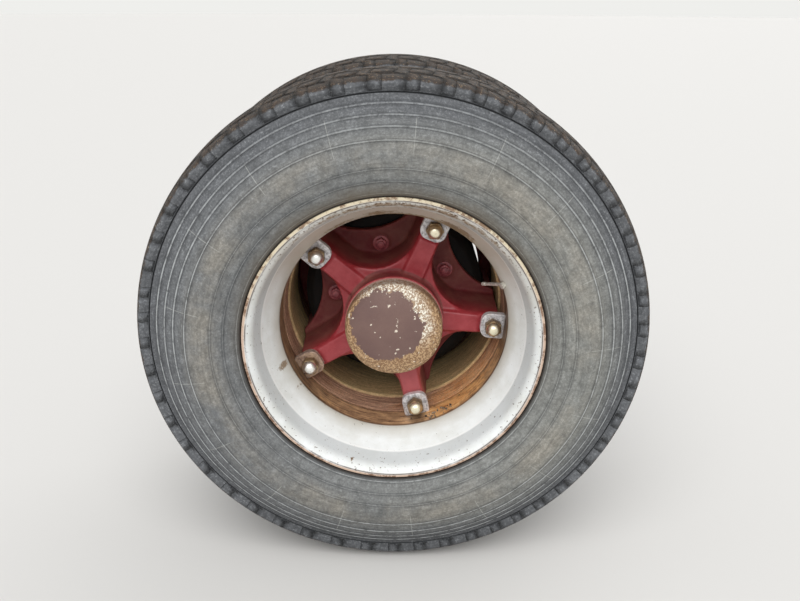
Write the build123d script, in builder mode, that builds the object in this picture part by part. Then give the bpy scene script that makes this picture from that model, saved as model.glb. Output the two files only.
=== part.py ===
from build123d import *
from math import atan2, cos, degrees, radians, sin, tan
import os

# Twin rear wheel of a heavy truck on its axle end. Lengths are in millimetres.
# Depth runs inboard from the outer rim's outboard flange. The origin is on the axle's centre line
# at the inboard end of the axle tube, with +Y inboard and +Z up.

# Clearances
running_gap = 0.05
seat_gap = 0.2
turning_gap = 5.0

# Rim, sized for a 22.5 inch tyre
seat_r = 278.5
seat_angle = 15.0
lip_height = 20.0
lip_depth = 14.0
rim_width = 235.0
mount_angle = 28.0
well_drop = 40.5
well_start = 110.0
well_width = 68.0
wall_run = 24.0
rim_metal = 7.0
bead_metal = 9.0
flange_metal = 9.0
lip_metal = 6.0
dual_spacing = 343.0

# Spacer band
band_land = 66.0
band_step = 5.0
band_lead = 8.0
band_height = 8.0

# Tyre
tread_r = 520.0
tread_width = 186.0
shoulder_height = 34.0
widest_height = 126.5
sidewall_bulge = 22.0

# Cast wheel
spoke_count = 5
spoke_angle = -5.0
spoke_root_r = 92.0
ridge_depth = 158.0
ridge_width = 42.0
ridge_taper = 8.0
ridge_chamfer = 9.0
flank_spread = 10.0
foot_spread = 22.0
web_depth = 285.0
web_metal = 22.0
web_waist_r = 165.0
web_tip_angle = 9.0
arm_gap = 7.0
arm_metal = 14.0
arm_width = 60.0
rear_ring_lead = 6.0
rear_ring_width = 22.0
barrel_face = 118.0
barrel_face_r = 104.0
barrel_lip = 8.0
barrel_neck_r = 99.0
root_depth = 168.0
root_tip_r = 150.0
root_waist_r = 110.0
root_tip_angle = 10.0
hub_tail = 72.0
hub_tail_r = 100.0
boss_r = 19.0
boss_height = 3.0

# Clamp, stud and nut
clamp_height = 51.0
clamp_width = 56.0
clamp_corner = 5.0
clamp_crown = 20.0
clamp_metal = 14.0
clamp_heel = 25.5
clamp_toe_gap = 1.0
clamp_toe_width = 40.0
clamp_toe = 24.0
pocket_depth = 8.0
pocket_slope = 40.0
stud_r = 9.5
stud_grip = 40.0
nut_flats = 33.0
nut_height = 21.0
nut_dome_r = 15.0
nut_dome = 12.0
nut_dome_taper = 32.0

# Hub cap
cap_r = 101.0
cap_side = 36.0
cap_crown = 24.0
cap_metal = 3.0

# Brake drum and its bolts
drum_face = 10.0
drum_gap = 7.0
drum_metal = 14.5
drum_length = 183.0
drum_shoulder = 18.0
drum_bolt_circle_r = 132.0
drum_nut_flats = 24.0
drum_nut_height = 13.0
drum_bolt_r = 8.0
drum_bolt_tip = 5.0

# Axle end
journal_r = 45.0
journal_end = 8.0
stub_r = 62.0
brake_flange_r = 98.0
brake_flange = 18.0
tube_r = 66.0
axle_end = 720.0
shield_metal = 3.0
shield_lip = 9.0

# Valve stems
valve_r = 4.0
valve_collar_r = 7.5
valve_collar = 10.0
valve_angle = 23.0
# rim, depth of the seat from the rim's flange, lean of the stem inboard, length
valves = [("outer", 100.0, 50.0, 66.0), ("inner", 80.0, -28.0, 34.0)]


def section(depth=0.0, sense=1):
    """Plane through the axle with x along the depth and y along the radius."""
    return Plane(origin=(0, depth - axle_end, 0), x_dir=(0, sense, 0), z_dir=(sense, 0, 0))


def polar(radius, angle):
    return (radius * cos(radians(angle)), radius * sin(radians(angle)))


def station(depth, turn=0.0):
    """Plane across the axle at a depth, seen from outboard, with x along the radius at a turn."""
    x, z = polar(1, turn)
    return Plane(origin=(0, depth - axle_end, 0), x_dir=(x, 0, z), z_dir=(0, -1, 0))


def save(name, piece):
    piece.part.label = name
    export_step(piece.part, f"parts/{name}.step")


os.makedirs("parts", exist_ok=True)

# Values that follow from the driving dimensions
flange_r = seat_r + lip_height
well_r = seat_r - well_drop
mount_slope = tan(radians(mount_angle))
seat_slope = tan(radians(seat_angle))
bevel_start = (well_start * mount_slope - well_drop - lip_depth * seat_slope) / (mount_slope - seat_slope)
bevel_top_r = well_r + (well_start - bevel_start) * mount_slope
well_end = well_start + well_width
wall_end = well_end + wall_run
wall_top_r = seat_r - (rim_width - lip_depth - wall_end) * seat_slope
wall_angle = degrees(atan2(wall_top_r - well_r, wall_run))
wall_slope = 1 / tan(radians(wall_angle))
inner_rim_depth = dual_spacing + rim_width
inner_well_end = inner_rim_depth - well_end
bead_seat_r = seat_r + bead_metal
shoulder_r = tread_r - shoulder_height
widest_r = seat_r + widest_height
section_width = rim_width + 2 * sidewall_bulge
arm_r = well_r - band_step - arm_gap
pocket_floor = ridge_depth + pocket_depth
spoke_step = 360 / spoke_count
spoke_angles = [spoke_angle + i * spoke_step for i in range(spoke_count)]
bolt_angles = [a + spoke_step / 2 for a in spoke_angles]
pocket_r = well_r - clamp_height
stud_circle_r = pocket_r + clamp_heel
web_back = web_depth + web_metal
drum_end = web_back + drum_length
drum_r = arm_r - arm_metal - drum_gap
drum_bore_r = drum_r - drum_metal
hub_end = web_back + hub_tail
ring_front = inner_rim_depth - well_start - rear_ring_lead
ring_back = ring_front + rear_ring_width
ring_front_r = well_r - seat_gap / cos(radians(mount_angle)) - rear_ring_lead * mount_slope
ring_back_r = ring_front_r + rear_ring_width * mount_slope
ring_bore_r = drum_r + turning_gap
flange_front = drum_end + turning_gap + shield_metal
cap_apex = barrel_face - cap_side - cap_crown
cap_outline = [
    (0, cap_r),
    (cap_side, cap_r),
    (cap_side + 0.62 * cap_crown, 0.72 * cap_r),
    (cap_side + cap_crown, 0.3 * cap_r),
    (cap_side + cap_crown, 0),
]


def behind(depth, radius, slope):
    """Point on the rim's tyre side, square to a slope of its open side."""
    lean = radians(slope)
    return (depth + rim_metal * sin(lean), radius + rim_metal * cos(lean))


# Demountable rims: one rolled section, turned round for the inner rim. The long 28 degree side
# of the well is the mounting bevel.
rim_depths = {"outer": (0.0, 1), "inner": (inner_rim_depth, -1)}
for name, (depth, sense) in rim_depths.items():
    with BuildPart() as rim:
        with BuildSketch(section(depth, sense)):
            with BuildLine():
                Polyline(
                    (0, flange_r),
                    (lip_depth, seat_r),
                    (bevel_start, bevel_top_r),
                    (well_start, well_r),
                    (well_end, well_r),
                    (wall_end, wall_top_r),
                    (rim_width - lip_depth, seat_r),
                    (rim_width, flange_r),
                    (rim_width - lip_metal, flange_r),
                    (rim_width - flange_metal, bead_seat_r),
                    behind(wall_end, wall_top_r, -(wall_angle + seat_angle) / 2),
                    behind(well_end, well_r, -wall_angle / 2),
                    behind(well_start, well_r, mount_angle / 2),
                    behind(bevel_start, bevel_top_r, (mount_angle + seat_angle) / 2),
                    (flange_metal, bead_seat_r),
                    (lip_metal, flange_r),
                    close=True,
                )
            make_face()
        revolve(axis=Axis.Y)
    save(f"{name}_rim", rim)

# Tyres: level crown, bevelled shoulders and bulged sidewalls, the closed air space left solid
tyre_half = [
    (tread_width / 2, tread_r),
    (tread_width / 2, shoulder_r),
    (section_width / 2, widest_r),
    (rim_width / 2 - flange_metal - seat_gap, bead_seat_r + seat_gap),
]
outline = tyre_half + [(-x, r) for x, r in reversed(tyre_half)]
for name, (depth, sense) in rim_depths.items():
    with BuildPart() as tyre:
        with BuildSketch(section(depth + sense * rim_width / 2)):
            with BuildLine():
                Polyline(*outline, close=True)
            make_face()
        revolve(axis=Axis.Y)
    save(f"{name}_tyre", tyre)

# Spacer band between the two rims' wells, stepped inwards over most of its width
with BuildPart() as spacer_band:
    with BuildSketch(section()):
        with BuildLine():
            Polyline(
                (well_end + seat_gap, well_r),
                (well_end + band_land, well_r),
                (well_end + band_land, well_r - band_step),
                (inner_well_end - seat_gap - band_lead, well_r - band_step),
                (inner_well_end - seat_gap, well_r),
                (inner_well_end - seat_gap - band_height * wall_slope, well_r + band_height),
                (well_end + seat_gap + band_height * wall_slope, well_r + band_height),
                close=True,
            )
        make_face()
    revolve(axis=Axis.Y)
save("spacer_band", spacer_band)

# Cast wheel: hub barrel, star-shaped web, five bevelled spokes, arms over the drum and rear ring
# depth of a spoke's section and its width at the root
spoke_sections = [
    (ridge_depth, ridge_width),
    (ridge_depth + ridge_chamfer, ridge_width + flank_spread),
    (web_back, ridge_width + foot_spread),
]
# tip radius, waist radius between two spokes, half-angle of a tip, front: the web, then the
# spokes' joined roots round the barrel
stars = [
    (arm_r, web_waist_r, web_tip_angle, web_depth),
    (root_tip_r, root_waist_r, root_tip_angle, root_depth),
]
with BuildPart() as spoke_wheel:
    with BuildSketch(section()):
        with BuildLine():
            Polyline(
                (barrel_face, journal_r + running_gap),
                (barrel_face, barrel_face_r),
                (barrel_face + barrel_lip, barrel_face_r),
                (barrel_face + 2 * barrel_lip, barrel_neck_r),
                (web_depth, barrel_neck_r),
                (web_back, hub_tail_r),
                (hub_end, hub_tail_r),
                (hub_end, journal_r + running_gap),
                close=True,
            )
        make_face()
    revolve(axis=Axis.Y)
    for tip_r, waist_r, tip_angle, front in stars:
        with BuildSketch(station(web_back)):
            with BuildLine():
                for a in spoke_angles:
                    Line(polar(tip_r, a - tip_angle), polar(tip_r, a + tip_angle))
                    ThreePointArc(
                        polar(tip_r, a + tip_angle),
                        polar(waist_r, a + spoke_step / 2),
                        polar(tip_r, a + spoke_step - tip_angle),
                    )
            make_face()
            Circle(journal_r + running_gap, mode=Mode.SUBTRACT)
        extrude(amount=web_back - front)
    for a in spoke_angles:
        for depth, width in spoke_sections:
            with BuildSketch(station(depth, a)):
                with BuildLine():
                    Polyline(
                        (spoke_root_r, -width / 2),
                        (arm_r, (ridge_taper - width) / 2),
                        (arm_r, (width - ridge_taper) / 2),
                        (spoke_root_r, width / 2),
                        close=True,
                    )
                make_face()
        loft(ruled=True)
    for a in spoke_angles:
        with BuildSketch(station((ring_front + ring_back) / 2, a)):
            with Locations((arm_r - arm_metal / 2, 0)):
                Rectangle(arm_metal, arm_width)
        extrude(amount=(ring_front + ring_back) / 2 - web_depth)
    with BuildSketch(section()):
        with BuildLine():
            Polyline(
                (ring_front, ring_bore_r),
                (ring_front, ring_front_r),
                (ring_back, ring_back_r),
                (ring_back, ring_bore_r),
                close=True,
            )
        make_face()
    revolve(axis=Axis.Y)
    for a in bolt_angles:
        with BuildSketch(station(web_depth, a)):
            with Locations((drum_bolt_circle_r, 0)):
                Circle(boss_r)
        extrude(amount=boss_height)
    for a in spoke_angles:
        with BuildSketch(station(pocket_floor, a)):
            with Locations((pocket_r + clamp_height, 0)):
                Rectangle(2 * clamp_height, 2 * clamp_width)
        extrude(amount=pocket_depth, taper=-pocket_slope, mode=Mode.SUBTRACT)
        with BuildSketch(station(pocket_floor, a)):
            with Locations((stud_circle_r, 0)):
                Circle(stud_r + running_gap)
        extrude(amount=-stud_grip, mode=Mode.SUBTRACT)
    for a in bolt_angles:
        with BuildSketch(station(web_back, a)):
            with Locations((drum_bolt_circle_r, 0)):
                Circle(drum_bolt_r + running_gap)
        extrude(amount=web_metal + boss_height, mode=Mode.SUBTRACT)
save("spoke_wheel", spoke_wheel)

# Rim clamps: arched plates on the spoke ends, whose toes reach in behind them to the outer rim's
# well
nut_face = pocket_floor - clamp_metal
with BuildPart() as rim_clamps:
    for a in spoke_angles:
        with BuildSketch(station(pocket_floor, a)) as plate:
            with Locations((pocket_r + clamp_height / 2, 0)):
                Rectangle(clamp_height, clamp_width)
            fillet(plate.vertices().group_by(Axis.X)[0], clamp_crown)
            fillet(plate.vertices().group_by(Axis.X)[-1], clamp_corner)
            with Locations((stud_circle_r, 0)):
                Circle(stud_r + running_gap, mode=Mode.SUBTRACT)
        extrude(amount=clamp_metal)
        with BuildSketch(station(pocket_floor, a)):
            with Locations(((arm_r + clamp_toe_gap + well_r) / 2, 0)):
                Rectangle(well_r - arm_r - clamp_toe_gap, clamp_toe_width)
        extrude(amount=-clamp_toe)
    with BuildSketch(station(pocket_floor + clamp_toe)):
        Circle(well_r - seat_gap)
    extrude(amount=clamp_metal + clamp_toe, mode=Mode.INTERSECT)
save("rim_clamps", rim_clamps)

# Clamp studs and domed nuts
with BuildPart() as clamp_studs:
    for a in spoke_angles:
        with BuildSketch(station(pocket_floor + stud_grip, a)):
            with Locations((stud_circle_r, 0)):
                Circle(stud_r)
        extrude(amount=stud_grip + clamp_metal + nut_height)
save("clamp_studs", clamp_studs)
nut_top = nut_face - nut_height
with BuildPart() as clamp_nuts:
    for a in spoke_angles:
        with BuildSketch(station(nut_face, a)):
            with Locations((stud_circle_r, 0)):
                RegularPolygon(nut_flats / 2, 6, major_radius=False)
        extrude(amount=nut_height)
        with BuildSketch(station(nut_top, a)):
            with Locations((stud_circle_r, 0)):
                Circle(nut_dome_r)
        extrude(amount=nut_dome, taper=nut_dome_taper)
        with BuildSketch(station(nut_face, a)):
            with Locations((stud_circle_r, 0)):
                Circle(stud_r + running_gap)
        extrude(amount=nut_height, mode=Mode.SUBTRACT)
save("clamp_nuts", clamp_nuts)

# Hub cap: pressed dome on the barrel's outboard face
with BuildPart() as hub_cap:
    with BuildSketch(section()):
        with BuildLine():
            Polyline(
                *((barrel_face - height, radius) for height, radius in cap_outline),
                (cap_apex + cap_metal, 0),
                (barrel_face - cap_side, cap_r - cap_metal),
                (barrel_face, cap_r - cap_metal),
                close=True,
            )
        make_face()
    revolve(axis=Axis.Y)
save("hub_cap", hub_cap)

# Brake drum: flanged bowl on the back of the web, located by the hub's tail
with BuildPart() as brake_drum:
    with BuildSketch(section()):
        with BuildLine():
            Polyline(
                (web_back, hub_tail_r + seat_gap),
                (web_back, drum_r - drum_shoulder),
                (web_back + drum_shoulder, drum_r),
                (drum_end, drum_r),
                (drum_end, drum_bore_r),
                (web_back + drum_shoulder + drum_face, drum_bore_r),
                (web_back + drum_face, drum_bore_r - drum_shoulder),
                (web_back + drum_face, hub_tail_r + seat_gap),
                close=True,
            )
        make_face()
    revolve(axis=Axis.Y)
    for a in bolt_angles:
        with BuildSketch(station(web_back + drum_face, a)):
            with Locations((drum_bolt_circle_r, 0)):
                Circle(drum_bolt_r + running_gap)
        extrude(amount=drum_face, mode=Mode.SUBTRACT)
save("brake_drum", brake_drum)

# Drum bolts: shanks through the drum's face and the web, each with its nut tight on the web's boss
with BuildPart() as drum_bolts:
    for a in bolt_angles:
        with BuildSketch(station(web_depth - boss_height, a)):
            with Locations((drum_bolt_circle_r, 0)):
                RegularPolygon(drum_nut_flats / 2, 6, major_radius=False)
        extrude(amount=drum_nut_height)
        with BuildSketch(station(web_back + drum_face, a)):
            with Locations((drum_bolt_circle_r, 0)):
                Circle(drum_bolt_r)
        extrude(amount=drum_face + web_metal + boss_height + drum_nut_height + drum_bolt_tip)
save("drum_bolts", drum_bolts)

# Valve stems: a collar square to the long bevel of each rim, and a stem that leans off it
for name, seat_depth, lean, length in valves:
    depth, sense = rim_depths[name]
    seat_radius = well_r + (well_start - seat_depth) * mount_slope
    x, z = polar(1, valve_angle)
    seat = Vector(x * seat_radius, depth + sense * seat_depth - axle_end, z * seat_radius)
    square, leaning = (
        Vector(-x * cos(radians(turn)), sense * sin(radians(turn)), -z * cos(radians(turn)))
        for turn in (-mount_angle, lean)
    )
    with BuildPart() as valve:
        with BuildSketch(Plane(origin=seat + square * seat_gap, z_dir=square)):
            Circle(valve_collar_r)
        extrude(amount=valve_collar)
        with BuildSketch(Plane(origin=seat + square * valve_collar / 2, z_dir=leaning)):
            Circle(valve_r)
        extrude(amount=length)
    save(f"{name}_valve", valve)

# Axle end: round tube, brake flange and turned spindle in one
with BuildPart() as axle_tube:
    with BuildSketch(section()):
        with BuildLine():
            Polyline(
                (barrel_face - journal_end, 0),
                (barrel_face - journal_end, journal_r),
                (hub_end + turning_gap, journal_r),
                (hub_end + turning_gap, stub_r),
                (flange_front, stub_r),
                (flange_front, brake_flange_r),
                (flange_front + brake_flange, brake_flange_r),
                (flange_front + brake_flange, tube_r),
                (axle_end, tube_r),
                (axle_end, 0),
                close=True,
            )
        make_face()
    revolve(axis=Axis.Y)
save("axle_tube", axle_tube)

# Dust shield that closes the drum, held against the brake flange
with BuildPart() as brake_shield:
    with BuildSketch(section()):
        with BuildLine():
            Polyline(
                (flange_front - shield_metal, stub_r + seat_gap),
                (flange_front - shield_metal, drum_r),
                (flange_front + shield_lip, drum_r),
                (flange_front + shield_lip, drum_r - shield_metal),
                (flange_front, drum_r - shield_metal),
                (flange_front, stub_r + seat_gap),
                close=True,
            )
        make_face()
    revolve(axis=Axis.Y)
save("brake_shield", brake_shield)
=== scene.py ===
import bmesh
import bpy
from math import cos, floor, hypot, pi, radians, sin, tau
from mathutils import Matrix, Vector
from random import Random


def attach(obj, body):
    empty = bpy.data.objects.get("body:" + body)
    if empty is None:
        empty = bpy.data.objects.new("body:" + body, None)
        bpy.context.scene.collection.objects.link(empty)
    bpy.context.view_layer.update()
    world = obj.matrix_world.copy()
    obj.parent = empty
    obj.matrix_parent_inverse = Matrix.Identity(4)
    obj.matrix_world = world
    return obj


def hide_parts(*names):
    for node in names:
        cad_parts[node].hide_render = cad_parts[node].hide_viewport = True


# Twin cast-spoke truck wheel on its axle end. Sizes are in millimetres unless a comment says metres,
# and depth runs inboard from the outer rim's outboard flange, as the frame's nodes stand.
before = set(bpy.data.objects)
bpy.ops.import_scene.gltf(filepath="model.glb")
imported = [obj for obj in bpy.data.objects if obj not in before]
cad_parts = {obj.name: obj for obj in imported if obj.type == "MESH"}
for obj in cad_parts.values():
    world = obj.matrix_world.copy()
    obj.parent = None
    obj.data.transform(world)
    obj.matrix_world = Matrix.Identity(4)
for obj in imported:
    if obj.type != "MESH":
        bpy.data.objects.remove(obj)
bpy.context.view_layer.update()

# Camera: stands 2.2 m outboard of the axle tube's end at chest height and looks down on the wheel,
# with the photograph's lens and its small turn and tilt. Its place is in metres.
camera_place = (0.0068, -2.1647, 0.6407)
camera_pitch, camera_yaw, camera_roll = radians(20.63), radians(0.21), radians(0.29)
camera_data = bpy.data.cameras.new("photo_camera")
camera_data.sensor_width = 36
camera_data.lens = 36.26
camera = bpy.data.objects.new("photo_camera", camera_data)
camera.matrix_world = (
    Matrix.Translation(camera_place)
    @ Matrix.Rotation(-camera_yaw, 4, "Z")
    @ Matrix.Rotation(pi / 2 - camera_pitch, 4, "X")
    @ Matrix.Rotation(camera_roll, 4, "Z")
)
bpy.context.scene.collection.objects.link(camera)
bpy.context.scene.camera = camera
bpy.context.scene.view_settings.view_transform = "Standard"


# Floor and light: a wide pale floor under a pale sky, one large soft lamp from the front and above,
# as an overcast day lights the wheel, and a weaker one from behind for the other views.
def linear(hex_colour):
    """Linear colour of an sRGB hex value."""
    parts = [int(hex_colour[i : i + 2], 16) / 255 for i in (1, 3, 5)]
    return [*(p / 12.92 if p <= 0.04045 else ((p + 0.055) / 1.055) ** 2.4 for p in parts), 1]


def add(tree, kind, links=None, **settings):
    """New shader node. Its links go by socket name or number, and are a node, a socket or a value."""
    made = tree.nodes.new("ShaderNode" + kind)
    for key, value in settings.items():
        setattr(made, key, value)
    for key, value in (links or {}).items():
        named = (s for s in made.inputs if s.enabled and s.name == key)
        socket = made.inputs[key] if isinstance(key, int) else next(named)
        if isinstance(value, bpy.types.Node):
            value = next(s for s in value.outputs if s.enabled)
        if isinstance(value, bpy.types.NodeSocket):
            tree.links.new(value, socket)
        else:
            socket.default_value = value
    return made


def material(name):
    """New material with an empty tree of nodes."""
    made = bpy.data.materials.new(name)
    made.use_nodes = True
    made.node_tree.nodes.clear()
    return made, made.node_tree


sky = bpy.data.worlds.new("pale_sky")
sky.use_nodes = True
tree = sky.node_tree
tree.nodes.clear()
rays = add(tree, "LightPath").outputs
seen = add(tree, "Math", {0: rays["Is Camera Ray"], 1: rays["Is Glossy Ray"]}, operation="MAXIMUM")
seen = add(tree, "Math", {0: seen, 1: rays["Is Transmission Ray"]}, operation="MAXIMUM")
ambient = add(tree, "Background", {"Color": linear("#f4f6fa"), "Strength": 0.53})
backdrop = add(tree, "Background", {"Color": linear("#efefec"), "Strength": 1.0})
both = add(tree, "MixShader", {0: seen, 1: ambient, 2: backdrop})
add(tree, "OutputWorld", {"Surface": both})
bpy.context.scene.world = sky

suns = [
    ("key_sun", (0.06, 0.64, -0.76), 2.25, 60),
    ("rear_sun", (-0.4, -0.7, -0.45), 0.8, 70),
]  # name, direction, strength, width in degrees
for name, direction, strength, width in suns:
    sun_data = bpy.data.lights.new(name, "SUN")
    sun_data.energy = strength
    sun_data.angle = radians(width)
    sun = bpy.data.objects.new(name, sun_data)
    sun.matrix_world = Vector(direction).to_track_quat("-Z", "Y").to_matrix().to_4x4()
    bpy.context.scene.collection.objects.link(sun)

floor_height, floor_radius = -0.520, 60  # metres
floor_bm = bmesh.new()
floor_place = Matrix.Translation((0, 0, floor_height))
bmesh.ops.create_circle(floor_bm, cap_ends=True, segments=96, radius=floor_radius, matrix=floor_place)
floor_mesh = bpy.data.meshes.new("floor")
floor_bm.to_mesh(floor_mesh)
floor_bm.free()
floor_piece = bpy.data.objects.new("floor", floor_mesh)
bpy.context.scene.collection.objects.link(floor_piece)
concrete, tree = material("pale_floor")
surface = add(tree, "BsdfPrincipled", {"Base Color": linear("#dcdad6"), "Roughness": 0.8})
add(tree, "OutputMaterial", {"Surface": surface})
floor_mesh.materials.append(concrete)


# Tyres: two tubeless radial truck tyres, moulded of black rubber that has weathered to grey, with
# shoulder blocks of uneven pitch, fine rings on the sidewall and mud packed in the tread.
axle_end = 720  # depth of the tube's inboard end
tyre_places = {"outer": (117.5, 0.02), "inner": (460.5, 0.06)}  # middle's depth, turn in radians
pitches = 50
pitch_swing = ((3, 0.10, 0.4), (11, 0.06, 1.7))  # waves round the tyre, share of a pitch, start
column_shares = (0.0, 0.03, 0.2, 0.42, 0.70)  # where the mesh's columns stand in each pitch
notch_columns = (1, 2)
notch_ramp = {1: 1.0, 2: 0.85, 3: 0.7}  # share of the notch's depth at its three columns
tread_depth = 13
shoulder_drop = 7
notch_depth = 3.4
tread_foot_r = 505  # the tread's surface lies outside this radius
block_foot_r = 486
crease_offset, crease_r = 90, 485  # what lies inside both is the darkened crease under the blocks
tread_edge = 66.5
ring_grooves = ((20, 27.5), (58, tread_edge))  # offsets of their sides
rib_phases = ((0, 0.5), (20, 0.56), (27.5, 0.2), (58, 0.32), (tread_edge, 0.0), (98, 0.0))
tread_rows = (
    (0, 520), (10, 519.9), (20, 519.4), (27.5, 518.8), (38, 517.8), (48, 516.5), (58, 514.8),
    (tread_edge, 513.2), (77, 510.8), (86, 508.2), (92, 505), (95.6, 500.5), (95.8, 496), (93.2, 491),
    (90, block_foot_r), (89.4, 484.6), (86.4, 484), (86.6, 482.4), (91.4, 481.6),
)  # offset from the tyre's middle, radius
side_curve = (
    (481.6, 91.4), (466, 100), (447, 114.5), (428, 125), (405, 133.2), (385, 138), (370, 139.2),
    (350, 137.2), (330, 131.5), (313, 124.5), (303, 119),
)  # radius, offset
side_rings = (
    (466, 1.3, 4.2), (447.3, 1.2, 4.2), (428.2, 1.2, 4.2), (405, 1.1, 3.4), (355, 0.5, 2), (331, 0.5, 2),
    (307, 0.8, 2.4),
)  # radius, height, width
ring_foot_tone = -0.6
side_step = 6
bead_rows = ((117.6, 300.4), (111.2, 299.2), (108.3, 288))
notch_tone, notch_mud = -0.3, 0.3
drop_by_radius = ((0, 0), (490, 0), (503, 1), (999, 1))
notch_by_offset = ((0, 0), (tread_edge, 0), (88, 1), (999, 1))
mud_foot_r = 495
mud_by_radius = ((0, 0), (mud_foot_r, 0), (501, 0.3), (505, 0.6), (508, 0.8), (999, 0.8))
mud_by_offset = ((0, 1), (80, 0.95), (96, 0.5), (999, 0.5))
merge_distance = 0.01


def sidewall(radius):
    """Offset of the sidewall at a radius, on a smooth curve through its points."""
    spans = list(zip(side_curve, side_curve[1:]))
    k = next((i for i, (a, b) in enumerate(spans) if radius >= b[0]), len(spans) - 1)
    (r0, y0), (r1, y1) = spans[k]
    before, after = side_curve[max(k - 1, 0)], side_curve[min(k + 2, len(side_curve) - 1)]
    start = (y1 - before[1]) / (r1 - before[0]) * (r1 - r0)
    end = (after[1] - y0) / (after[0] - r0) * (r1 - r0)
    t = (radius - r0) / (r1 - r0)
    return (
        y0 * (2 * t**3 - 3 * t**2 + 1) + y1 * (3 * t**2 - 2 * t**3)
        + start * (t**3 - 2 * t**2 + t) + end * (t**3 - t**2)
    )


def tyre_half():
    """Rows of offset, radius and tone from the crown to the bead; tone is 1 where worn pale, -1 where
    darkened.
    """
    rows = []
    for offset, radius in tread_rows:
        in_crease = offset < crease_offset and radius < crease_r
        rows.append((offset, radius, -1 if in_crease else 0))
    top, bead = side_curve[0][0], side_curve[-1][0]
    plain = [top - side_step * i for i in range(1, int((top - bead) / side_step) + 1)]
    side = [(r, 0, 0) for r in plain if all(abs(r - ring[0]) > ring[2] for ring in side_rings)]
    for radius, height, width in side_rings:
        side += [(radius + width / 2, 0, ring_foot_tone), (radius + width / 4, height, height)]
        side += [(radius - width / 4, height, height), (radius - width / 2, 0, ring_foot_tone)]
    rows += [(sidewall(r) + height, r, tone) for r, height, tone in sorted(side, reverse=True)]
    return rows + [(offset, radius, -1) for offset, radius in bead_rows]


def interpolated(x, points):
    """Value at x on straight lines between points."""
    for (x0, y0), (x1, y1) in zip(points, points[1:]):
        if x <= x1:
            return y0 + (y1 - y0) * (x - x0) / (x1 - x0)
    return points[-1][1]


def pitch_angle(count):
    """Angle at which a number of pitches ends; the pitches swing in length about their mean."""
    swing = 0
    for waves, share, start in pitch_swing:
        turn = waves * count / pitches * tau
        swing += share * (sin(turn + start) - sin(start)) * pitches / waves / tau
    return (count + swing) / pitches * tau


def tyre(middle, turn):
    """Mesh of a tyre, spun as rows and columns, warped to its pitches and cut with its grooves."""
    bm = bmesh.new()
    tone_of = bm.verts.layers.float.new("tone")
    mud_of = bm.verts.layers.float.new("mud")
    half = tyre_half()
    rows = [(-offset, radius, tone) for offset, radius, tone in reversed(half[1:])] + half
    outline = []
    for offset, radius, tone in rows:
        corner = bm.verts.new((radius, offset, 0))
        corner[tone_of] = tone
        outline.append(corner)
    for pair in zip(outline, outline[1:] + outline[:1]):
        bm.edges.new(pair)
    columns = pitches * len(column_shares)
    bmesh.ops.spin(
        bm, geom=bm.verts[:] + bm.edges[:], axis=(0, -1, 0), angle=tau, steps=columns, use_merge=True
    )
    bmesh.ops.remove_doubles(bm, verts=bm.verts, dist=merge_distance)
    bmesh.ops.recalc_face_normals(bm, faces=bm.faces)

    def column(point):
        angle = Vector((point.x, point.z)).angle_signed(Vector((1, 0)), 0) % tau
        return round(angle / tau * columns * 2) / 2 % columns

    grooves = []
    for face in bm.faces:
        centre = face.calc_center_median()
        offset, radius = abs(centre.y), hypot(centre.x, centre.z)
        lateral = floor(column(centre)) % len(column_shares) in notch_columns
        ring = any(start < offset < end for start, end in ring_grooves)
        if radius > block_foot_r and (ring and radius > tread_foot_r or lateral):
            grooves.append(face)
    places = {v: column(v.co) for v in bm.verts}
    cut = bmesh.ops.extrude_face_region(bm, geom=grooves)["geom"]
    floor_verts = [v for v in cut if isinstance(v, bmesh.types.BMVert)]
    for v in floor_verts:
        places[v] = column(v.co)
    for v in bm.verts:
        k = round(places[v]) % columns
        offset, radius = v.co.y, hypot(v.co.x, v.co.z)
        phase = interpolated(abs(offset), rib_phases) * (1 if radius > tread_foot_r else 0)
        share = column_shares[k % len(column_shares)]
        angle = pitch_angle(k // len(column_shares) + share + phase) + turn
        v.co = (radius * cos(angle), offset, radius * sin(angle))
        v[mud_of] = interpolated(radius, mud_by_radius)
    for v in floor_verts:
        offset, radius = v.co.y, hypot(v.co.x, v.co.z)
        across = abs(offset)
        on_shoulder = across > tread_edge + 1
        keep = notch_ramp.get(round(places[v]) % len(column_shares), 1) if on_shoulder else 1
        drop = (shoulder_drop if on_shoulder else tread_depth) * keep * interpolated(radius, drop_by_radius)
        side = notch_depth * keep * interpolated(across, notch_by_offset)
        shrink = 1 - drop / radius
        v.co = (v.co.x * shrink, offset - side * (1 if offset > 0 else -1), v.co.z * shrink)
        v[mud_of] = interpolated(across, mud_by_offset) if radius > mud_foot_r else notch_mud
        v[tone_of] = notch_tone * keep
    bmesh.ops.remove_doubles(bm, verts=bm.verts, dist=merge_distance)
    bm.transform(Matrix.Scale(0.001, 4) @ Matrix.Translation((0, middle - axle_end, 0)))
    return bm


def shown(bm, name, materials, crease=32):
    """Object of a finished mesh, smooth but for edges sharper than the crease."""
    for face in bm.faces:
        face.smooth = True
    for edge in bm.edges:
        edge.smooth = edge.calc_face_angle(0) < radians(crease)
    mesh = bpy.data.meshes.new(name)
    bm.to_mesh(mesh)
    bm.free()
    for made in materials:
        mesh.materials.append(made)
    piece = bpy.data.objects.new(name, mesh)
    bpy.context.scene.collection.objects.link(piece)
    return piece


def in_millimetres(tree):
    """Object coordinates in millimetres, so that a pattern's scale is one over its size."""
    return add(tree, "VectorMath", {0: add(tree, "TexCoord").outputs["Object"], 3: 1000}, operation="SCALE")
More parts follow.
